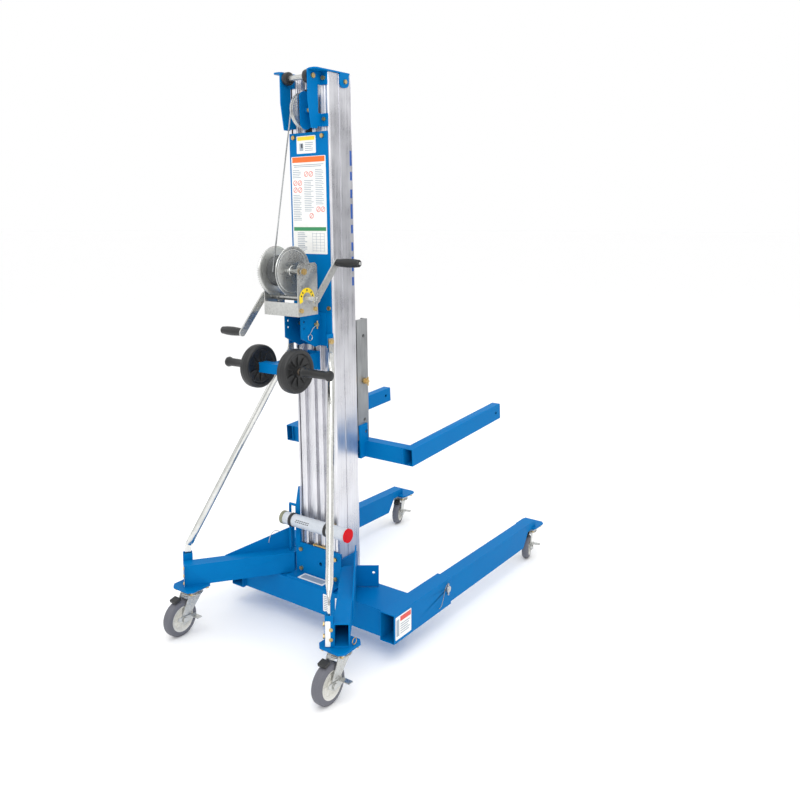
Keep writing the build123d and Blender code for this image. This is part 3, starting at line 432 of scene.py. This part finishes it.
# ---- crank grips ---------------------------------------------------------------------------------
# Barrel-shaped grips of moulded polypropylene, free to turn on their steel spindles. The mould leaves
# a fine texture and a satin surface.
black_moulding = finish_of("black_polypropylene", "#232425", "#131415", 1.2, gloss=(0.38, 0.52), bump_mm=0.03)
GRIP_HALF, GRIP_R, SPINDLE_R = 0.0485, 0.0155, 0.0052
grip_outline = [(-GRIP_HALF, SPINDLE_R), (-GRIP_HALF, 0.011), (-GRIP_HALF + 0.0015, 0.0125),
                (-GRIP_HALF + 0.010, 0.0132), (-0.024, 0.0146), (0, GRIP_R), (0.024, 0.0150),
                (GRIP_HALF - 0.012, 0.0135), (GRIP_HALF - 0.003, 0.0128), (GRIP_HALF, 0.0105),
                (GRIP_HALF, SPINDLE_R)]
for side, sign in SIDES:
    outline = [(sign * along, radius) for along, radius in grip_outline]
    grip = turned(side + "_crank_handle", outline, at_joint(side + "_grip_spin"), side + "_crank_grip",
                  [black_moulding], steps=40)
    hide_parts(side + "_crank_grip")

# ---- loading wheels ------------------------------------------------------------------------------
# Solid black wheels on the carrier behind the mast. The tread is crowned with a parting line round
# its middle, and each face has a raised lip, a recessed web and a hub boss in a bronze bush.
BUSH_R = 0.0155
bronze_bush = finish_of("sintered_bronze", "#8d7c6a", "#6f6256", 2.0, metal=0.8, gloss=(0.4, 0.55))
load_wheel_side = [(0.020, 0.0082), (0.020, 0.012), (0.0195, 0.020), (0.010, 0.022), (0.008, 0.030),
                   (0.009, 0.046), (0.012, 0.052), (0.012, 0.056), (0.0175, 0.060), (0.0190, 0.066),
                   (0.0175, 0.0705), (0.0135, 0.0738), (0.007, 0.0748), (0.0008, 0.0748), (0.0004, 0.0750)]


def bush_or_moulding(along, radius):
    """The second finish, bronze, goes inside the bush's radius."""
    return int(radius < BUSH_R)


def spokes(name, place, body, material, inner, outer, width, depth, count):
    """Radial ribs on both faces of a wheel's web."""
    shape = bmesh.new()
    rib = Matrix.Translation((0, 0, (inner + outer) / 2)) @ Matrix.Diagonal((depth, width, outer - inner, 1))
    for index in range(count):
        turn = Matrix.Rotation(2 * math.pi * index / count, 4, "X")
        bmesh.ops.create_cube(shape, size=1, matrix=turn @ rib)
    bmesh.ops.bevel(shape, geom=list(shape.edges), offset=width / 5, segments=2, profile=0.5, affect="EDGES",
                    material=-1)
    return settle(name, shape, [material], body, place)


for side, _ in SIDES:
    name = side + "_loading_wheel"
    place = at_joint(name + "_spin")
    wheel = turned(name + "_moulding", both_sides(load_wheel_side), place, name,
                   [black_moulding, bronze_bush], bush_or_moulding, steps=96)
    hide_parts(name)
    ribs = spokes(name + "_ribs", place, name, black_moulding, inner=0.020, outer=0.058, width=0.004,
                  depth=0.026, count=10)

# ---- loading axle grips --------------------------------------------------------------------------
# Slide-on rubber grips on both ends of the loading axle, with a flared collar at each end.
axle_low, axle_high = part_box("loading_axle")
axle_y, axle_z = (axle_low[1] + axle_high[1]) / 2, (axle_low[2] + axle_high[2]) / 2
grip_from = 0.1175
grip_to = axle_high[0]
sleeve = [(grip_from, 0.0125), (grip_from, 0.0175), (grip_from + 0.004, 0.0185), (grip_from + 0.008, 0.0165),
          (grip_from + 0.012, 0.0140), (grip_to - 0.020, 0.0140), (grip_to - 0.014, 0.0160),
          (grip_to - 0.006, 0.0180), (grip_to - 0.001, 0.0165), (grip_to + 0.0015, 0.0120),
          (grip_to + 0.0015, 0), (grip_to + 0.0003, 0), (grip_to + 0.0003, 0.0125)]
for side, sign in SIDES:
    outline = [(sign * along, radius) for along, radius in sleeve]
    cover = turned(side + "_axle_grip", outline, Matrix.Translation((0, axle_y, axle_z)), "base",
                   [black_moulding], steps=40)

# ---- top rollers ---------------------------------------------------------------------------------
# Two black rollers on a plated spacer tube, between the brackets, for loading the lift into a van.
SPACER_HALF = 0.0345
roller_side = [(0.035, 0.009), (0.035, 0.018), (0.037, 0.0215), (0.040, 0.0225), (0.052, 0.0225),
               (0.055, 0.0215), (0.057, 0.018), (0.057, 0.0063)]


def spacer_or_roller(along, radius):
    """The second finish, zinc plate, goes on the spacer between the rollers."""
    return int(abs(along) < SPACER_HALF)


rollers = turned("top_rollers", both_sides(roller_side), at_joint("top_roller_spin"), "top_roller",
                 [black_moulding, bright_zinc], spacer_or_roller, steps=48)
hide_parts("top_roller")

# ---- casters -------------------------------------------------------------------------------------
# Swivel casters with grey rubber treads on off-white nylon cores. A ball race sits under the plate,
# and a black brake shoe is held between the fork's cheeks over the top of the tread.
grey_rubber = finish_of("grey_tread_rubber", "#6a6b73", "#5a5b63", 2.5, gloss=(0.55, 0.7), bump_mm=0.05)
nylon_core = finish_of("nylon_core", "#dddcd6", "#c9c8c1", 3.0, gloss=(0.35, 0.5), bump_mm=0.02)


CORE_SHARE = 0.68
RACE_DROP = 0.0085
SHOE_LONG, SHOE_THICK, SHOE_GAP, SHOE_REACH = 0.026, 0.011, 0.009, math.radians(104)
race_outline = [(0, 0.020), (0, 0.0365), (0.003, 0.0385), (0.006, 0.0370), (0.009, 0.0300), (0.009, 0.020)]


def caster_side(r, half):
    """One side of a wheel of radius r, from its bore to the crown of its tread."""
    return [(half + 0.001, 0.0062), (half + 0.001, 0.012), (half, 0.0135), (half - 0.008, 0.015),
            (half - 0.009, 0.52 * r), (half - 0.004, 0.58 * r), (half - 0.002, 0.66 * r),
            (half - 0.0005, 0.70 * r), (half, 0.78 * r), (half - 0.0012, 0.88 * r),
            (half - 0.004, 0.955 * r), (half - 0.008, 0.992 * r), (0.0012, r), (0.0006, r)]


for name in CASTERS:
    low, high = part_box(name + "_wheel")
    r = (high[2] - low[2]) / 2
    half = 0.018 if name.startswith("rear") else 0.015
    roll = at_joint(name + "_roll")
    wheel = turned(name + "_tread_and_core", both_sides(caster_side(r, half)), roll, name + "_wheel",
                   [grey_rubber, nylon_core], lambda along, radius: int(radius <= CORE_SHARE * r), steps=96)
    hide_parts(name + "_wheel")
    ribs = spokes(name + "_core_ribs", roll, name + "_wheel", nylon_core, inner=0.013, outer=0.56 * r,
                  width=0.0035, depth=2 * half - 0.012, count=8)
    swivel = Vector(joints[name + "_swivel"]["pos_m"])
    race_at = Matrix.Translation((swivel.x, swivel.y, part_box(name + "_fork")[1][2] - RACE_DROP))
    race = turned(name + "_ball_race", race_outline, race_at @ Matrix.Rotation(-math.pi / 2, 4, "Y"),
                  name + "_fork", [bright_zinc], steps=56)
    hub = Vector(joints[name + "_roll"]["pos_m"])
    ahead = Vector((swivel.x - hub.x, swivel.y - hub.y, 0)).normalized()
    shape = bmesh.new()
    bmesh.ops.create_cube(shape, size=1, matrix=Matrix.Diagonal((2 * half - 0.004, SHOE_LONG, SHOE_THICK, 1)))
    bmesh.ops.bevel(shape, geom=list(shape.edges), offset=0.002, segments=3, profile=0.5, affect="EDGES",
                    material=-1)
    arm = r + SHOE_GAP
    shoe_at = hub + ahead * arm * math.cos(SHOE_REACH) + Vector((0, 0, arm * math.sin(SHOE_REACH)))
    shoe_place = (Matrix.Translation(shoe_at) @ Matrix.Rotation(math.atan2(-ahead.x, ahead.y), 4, "Z")
                  @ Matrix.Rotation(SHOE_REACH - math.pi / 2, 4, "X"))
    shoe = settle(name + "_brake_shoe", shape, [black_moulding], name + "_fork", shoe_place)

# ---- manual tube ---------------------------------------------------------------------------------
# A white PVC document tube with a red screw cap, a fixed grey-green cap on the left and two black
# rubber straps that hold it to the foot of the mast.
white_pvc = finish_of("white_pvc", "#ccd1d8", "#c0c6cd", 8.0, gloss=(0.3, 0.42), shine=0.3)
red_cap = finish_of("red_polyethylene", "#da1822", "#cb141e", 4.0, gloss=(0.4, 0.5), shine=0.08)
olive_cap = finish_of("grey_green_polyethylene", "#8b8c72", "#74755e", 4.0, gloss=(0.4, 0.5))
dress(white_pvc, ["manual_tube"], 0.4)
dress(red_cap, ["manual_tube_cap"], 0.8)
tube_low, tube_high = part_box("manual_tube")
tube_y, tube_z, tube_r = (tube_low[1] + tube_high[1]) / 2, (tube_low[2] + tube_high[2]) / 2, 0.023
tube_place = Matrix.Translation((0, tube_y, tube_z))
left_end = tube_low[0]
end_cap = turned("manual_tube_end", [(left_end - 0.004, 0.004), (left_end - 0.004, 0.022),
                                     (left_end - 0.002, 0.0245), (left_end + 0.011, 0.0245),
                                     (left_end + 0.012, 0.0233), (left_end + 0.008, 0.0231),
                                     (left_end - 0.002, 0.0231), (left_end - 0.002, 0.004)],
                 tube_place, "base", [olive_cap], steps=48)
for index, middle in enumerate((left_end + 0.048, tube_high[0] - 0.088)):
    band = turned("tube_strap_%d" % (index + 1),
                  [(middle - 0.0065, 0.0232), (middle - 0.0065, 0.0252), (middle - 0.0055, 0.0256),
                   (middle + 0.0055, 0.0256), (middle + 0.0065, 0.0252), (middle + 0.0065, 0.0232)],
                  tube_place, "base", [black_moulding], steps=48)

# ---- labels --------------------------------------------------------------------------------------
# Printed vinyl stickers, 0.4 mm thick with rounded corners. They carry only plain bars, rings and
# header strips: there is no wording and no mark on them.
STICKER = 0.0004
RING_HOLE = 0.78
RAGGED, INK_SHARE = 0.28, 0.42
vinyl_white = finish_of("white_vinyl", "#f1f1ee", "#e8e8e4", 12.0, gloss=(0.3, 0.4))
vinyl_inks = {"orange": "#ee6a20", "yellow": "#f3d321", "green": "#2f8a57", "grey": "#9fa9b4",
              "red": "#d8453a", "black": "#2a2c30", "blue": "#1b4fa0"}
inks = {ink: finish_of(ink + "_vinyl_ink", code, code, 6.0, gloss=(0.32, 0.4))
        for ink, code in vinyl_inks.items()}
ink_order = ["white"] + list(vinyl_inks)


def sticker(name, to_world, width, height, marks, rings=()):
    """A white panel with flat ink marks (x, z, width, height, ink) and rings (x, z, radius, ink)."""
    shape = bmesh.new()
    bmesh.ops.create_cube(shape, size=1, matrix=Matrix.Diagonal((width, STICKER, height, 1)))
    uprights = [edge for edge in shape.edges if abs(edge.verts[0].co.y - edge.verts[1].co.y) > STICKER / 2]
    bmesh.ops.bevel(shape, geom=uprights, offset=0.003, segments=4, profile=0.5, affect="EDGES", material=-1)
    for x, z, wide, tall, ink in marks:
        old = set(shape.faces)
        matrix = Matrix.Translation((x, -STICKER * 0.75, z)) @ Matrix.Diagonal((wide, STICKER * 0.5, tall, 1))
        bmesh.ops.create_cube(shape, size=1, matrix=matrix)
        for face in set(shape.faces) - old:
            face.material_index = ink_order.index(ink)
    for x, z, radius, ink in rings:
        old = set(shape.faces)
        place = Matrix.Translation((x, -STICKER * 0.85, z)) @ Matrix.Rotation(math.pi / 2, 4, "X")
        hole = radius * RING_HOLE
        start = [shape.verts.new(place @ Vector((r, 0, h)))
                 for r, h in ((hole, 0), (radius, 0), (radius, STICKER / 3), (hole, STICKER / 3))]
        sides = [shape.edges.new((a, b)) for a, b in zip(start, start[1:] + start[:1])]
        bmesh.ops.spin(shape, geom=start + sides, cent=place @ Vector((0, 0, 0)), axis=(0, 1, 0),
                       angle=2 * math.pi, steps=20, use_merge=True, use_duplicate=False)
        slash = place @ Matrix.Rotation(math.radians(45), 4, "Z") @ Matrix.Diagonal(
            (1.7 * radius, 0.2 * radius, STICKER / 3, 1))
        bmesh.ops.create_cube(shape, size=1, matrix=slash)
        for face in set(shape.faces) - old:
            face.material_index = ink_order.index(ink)
    bmesh.ops.recalc_face_normals(shape, faces=shape.faces)
    finishes = [vinyl_white] + [inks[ink] for ink in vinyl_inks]
    settle(name, shape, finishes, "base", to_world)


def lines_of(x, top, wide, rows, pitch):
    """A column of fine ragged grey lines, like small print."""
    marks = []
    for row in range(rows):
        part = 1 - RAGGED * abs(math.sin(2.1 * row + 31 * x))
        marks.append((x - wide * (1 - part) / 2, top - row * pitch, wide * part, pitch * INK_SHARE, "grey"))
    return marks


PLATE_BACK = -0.0056
small_at = LEANED @ Matrix.Translation((-0.009, PLATE_BACK - STICKER / 2, 1.746))
sticker("notice_label", small_at, 0.088, 0.060,
        [(0, 0.021, 0.080, 0.013, "yellow"), (-0.022, -0.008, 0.018, 0.026, "grey"),
         (-0.020, -0.004, 0.007, 0.014, "black")] + lines_of(0.016, 0.006, 0.044, 5, 0.0065))
big_marks = [(0, 0.158, 0.150, 0.019, "orange"), (0, -0.082, 0.150, 0.013, "green"),
             (0, 0.140, 0.140, 0.003, "grey"), (-0.004, 0.134, 0.128, 0.003, "grey")]
for x, top, rows in ((-0.052, 0.122, 5), (-0.052, 0.036, 15), (0, 0.086, 18), (0.052, 0.122, 20),
                     (-0.036, -0.096, 9), (-0.036, -0.14, 4)):
    big_marks += lines_of(x, top, 0.044, rows, 0.0062)
for column in range(4):
    big_marks.append((0.012 + 0.018 * column, -0.128, 0.0012, 0.066, "grey"))
for row in range(7):
    big_marks.append((0.039, -0.098 - 0.010 * row, 0.056, 0.0010, "grey"))
RING_R = 0.0095
rings = [(x, z, RING_R, "red")
         for x, z in ((-0.063, 0.078), (-0.041, 0.078), (-0.063, 0.054), (-0.041, 0.054), (-0.011, 0.108),
                      (0.011, 0.108), (0.010, -0.036), (0.042, -0.014), (0.063, -0.014))]
big_at = LEANED @ Matrix.Translation((-0.001, PLATE_BACK - STICKER / 2, 1.537))
sticker("instruction_label", big_at, 0.158, 0.338, big_marks, rings)
socket_low, socket_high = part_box("right_leg_socket")
side_turn = Matrix.Rotation(math.pi / 2, 4, "Z")
socket_at = Matrix.Translation((socket_high[0] + STICKER / 2, socket_low[1] + 0.054, 0.121)) @ side_turn
sticker("socket_label", socket_at, 0.092, 0.080,
        [(0.012, 0.027, 0.062, 0.017, "red"), (-0.033, 0, 0.016, 0.058, "grey")]
        + lines_of(0.012, 0.008, 0.060, 5, 0.008))
for number, across in ((1, 0.082), (2, 0.138)):
    beam_at = Matrix.Translation((across, beam_low[1] - STICKER / 2, 0.121))
    sticker("beam_label_%d" % number, beam_at, 0.030, 0.064, lines_of(0, 0.024, 0.022, 8, 0.0068))
top_at = (Matrix.Translation((-0.004, beam_low[1] + 0.028, beam_high[2] + 0.008 + STICKER / 2))
          @ Matrix.Rotation(-math.pi / 2, 4, "X"))
sticker("foot_label", top_at, 0.122, 0.042, [(0, 0, 0.104, 0.026, "grey")])

# ---- brace foot ends and caster plate ring -------------------------------------------------------
# The end face of each brace foot has a white vinyl strip and domed bolts beside it. A split ring
# stands on the right caster plate.
LEG_SPLAY = math.radians(36.5)
FOOT_END_X, FOOT_END_Y = 0.3409, -0.663
STRIP_Z, STRIP_TALL = 0.213, 0.082
dome = [(0, 0), (0, 0.0062), (0.0015, 0.0062), (0.0035, 0.0045), (0.0045, 0)]
for side, sign, strip_x, strip_wide, bolt_x, bolt_heights in (
        ("right", 1, -0.0035, 0.016, 0.0065, (0.194, 0.226)),
        ("left", -1, -0.0085, 0.008, 0.004, (0.190, 0.218, 0.246))):
    foot_end = (Matrix.Translation((sign * FOOT_END_X, FOOT_END_Y, 0))
                @ Matrix.Rotation(sign * LEG_SPLAY, 4, "Z"))
    strip_at = foot_end @ Matrix.Translation((strip_x, -STICKER / 2, STRIP_Z))
    sticker(side + "_brace_foot_strip", strip_at, strip_wide, STRIP_TALL, [])
    for number, height in enumerate(bolt_heights):
        bolt_at = foot_end @ Matrix.Translation((bolt_x, -STICKER, height))
        bolt = turned("%s_foot_bolt_%d" % (side, number + 1), dome,
                      bolt_at @ Matrix.Rotation(-math.pi / 2, 4, "Z"), "base", [yellow_chromate], steps=20)
plate_ring = turned("plate_ring", [(-0.0014, 0.0100), (0, 0.0115), (0.0014, 0.0100), (0, 0.0086)],
                    Matrix.Translation((0.394, -0.604, 0.1815)), "base", [yellow_chromate], steps=40)

# ---- print on the manual tube --------------------------------------------------------------------
# Two rows of short black dashes, printed on the side of the tube that faces the operator.
shape = bmesh.new()
for row, angle in ((0, 14), (1, 30)):
    for dash in range(7):
        turn = Matrix.Rotation(math.radians(-angle), 4, "X")
        spot = Matrix.Translation((-0.062 + 0.0095 * dash + 0.002 * row, -tube_r - 0.0001, 0))
        size = Matrix.Diagonal((0.0075 - 0.002 * ((dash + row) % 2), 0.0003, 0.0030, 1))
        bmesh.ops.create_cube(shape, size=1, matrix=tube_place @ turn @ spot @ size)
settle("tube_print", shape, [inks["black"]], "base")

# ---- column stripe -------------------------------------------------------------------------------
# A strip of blue vinyl blocks along the front band of the column, one run on each side.
shape = bmesh.new()
for _, sign in SIDES:
    for index in range(8):
        tall = 0.030 if index % 3 else 0.052
        matrix = LEANED @ Matrix.Translation((sign * (0.0925 + STICKER / 2), 0.112, 1.70 - 0.062 * index))
        bmesh.ops.create_cube(shape, size=1, matrix=matrix @ Matrix.Diagonal((STICKER, 0.010, tall, 1)))
settle("column_stripe", shape, [inks["blue"]], "base")

# ---- winch sticker and retaining clip ------------------------------------------------------------
# A yellow arc round the crank's bearing shows the turning sense by its shape alone. The bracket's pin
# hangs on a short wire with a split ring.
crank_at = Vector(joints["crank_spin"]["pos_m"])
SIDE_FRAME_FACE = 0.0792
shape = bmesh.new()
start_angle = math.radians(-25)
first = [shape.verts.new((x, r * math.cos(start_angle), r * math.sin(start_angle)))
         for x, r in ((0, 0.021), (0, 0.037), (STICKER, 0.037), (STICKER, 0.021))]
sides = [shape.edges.new((a, b)) for a, b in zip(first, first[1:] + first[:1])]
shape.faces.new(first)
ends = bmesh.ops.spin(shape, geom=first + sides, cent=(0, 0, 0), axis=(1, 0, 0), angle=math.radians(230),
                      steps=32, use_merge=False, use_duplicate=False)
shape.faces.new([item for item in ends["geom_last"] if isinstance(item, bmesh.types.BMVert)])
bmesh.ops.recalc_face_normals(shape, faces=shape.faces)
for angle in (20, 45, 90, 135, 160):
    old = set(shape.faces)
    turn = Matrix.Rotation(math.radians(angle), 4, "X") @ Matrix.Translation((STICKER * 1.2, 0.029, 0))
    bmesh.ops.create_cube(shape, size=1, matrix=turn @ Matrix.Diagonal((STICKER * 0.5, 0.007, 0.005, 1)))
    for face in set(shape.faces) - old:
        face.material_index = 1
arc_at = Matrix.Translation((SIDE_FRAME_FACE, crank_at.y, crank_at.z))
arc = settle("crank_arc_label", shape, [inks["yellow"], inks["black"]], "base", arc_at)

cheek = 0.0395
clip_points = [(cheek + 0.015, -0.036, 1.124), (cheek + 0.014, -0.044, 1.124), (cheek + 0.006, -0.052, 1.116),
               (cheek + 0.003, -0.060, 1.102), (cheek + 0.003, -0.066, 1.093)]
clip = wire("pin_clip_wire", [LEANED @ Vector(p) for p in clip_points], 0.0009, "base", bright_zinc)
ring = turned("pin_split_ring", [(-0.0012, 0.0105), (0, 0.0117), (0.0012, 0.0105), (0, 0.0093)],
              LEANED @ Matrix.Translation((cheek + 0.003, -0.066, 1.082)), "base", [bright_zinc], steps=40)
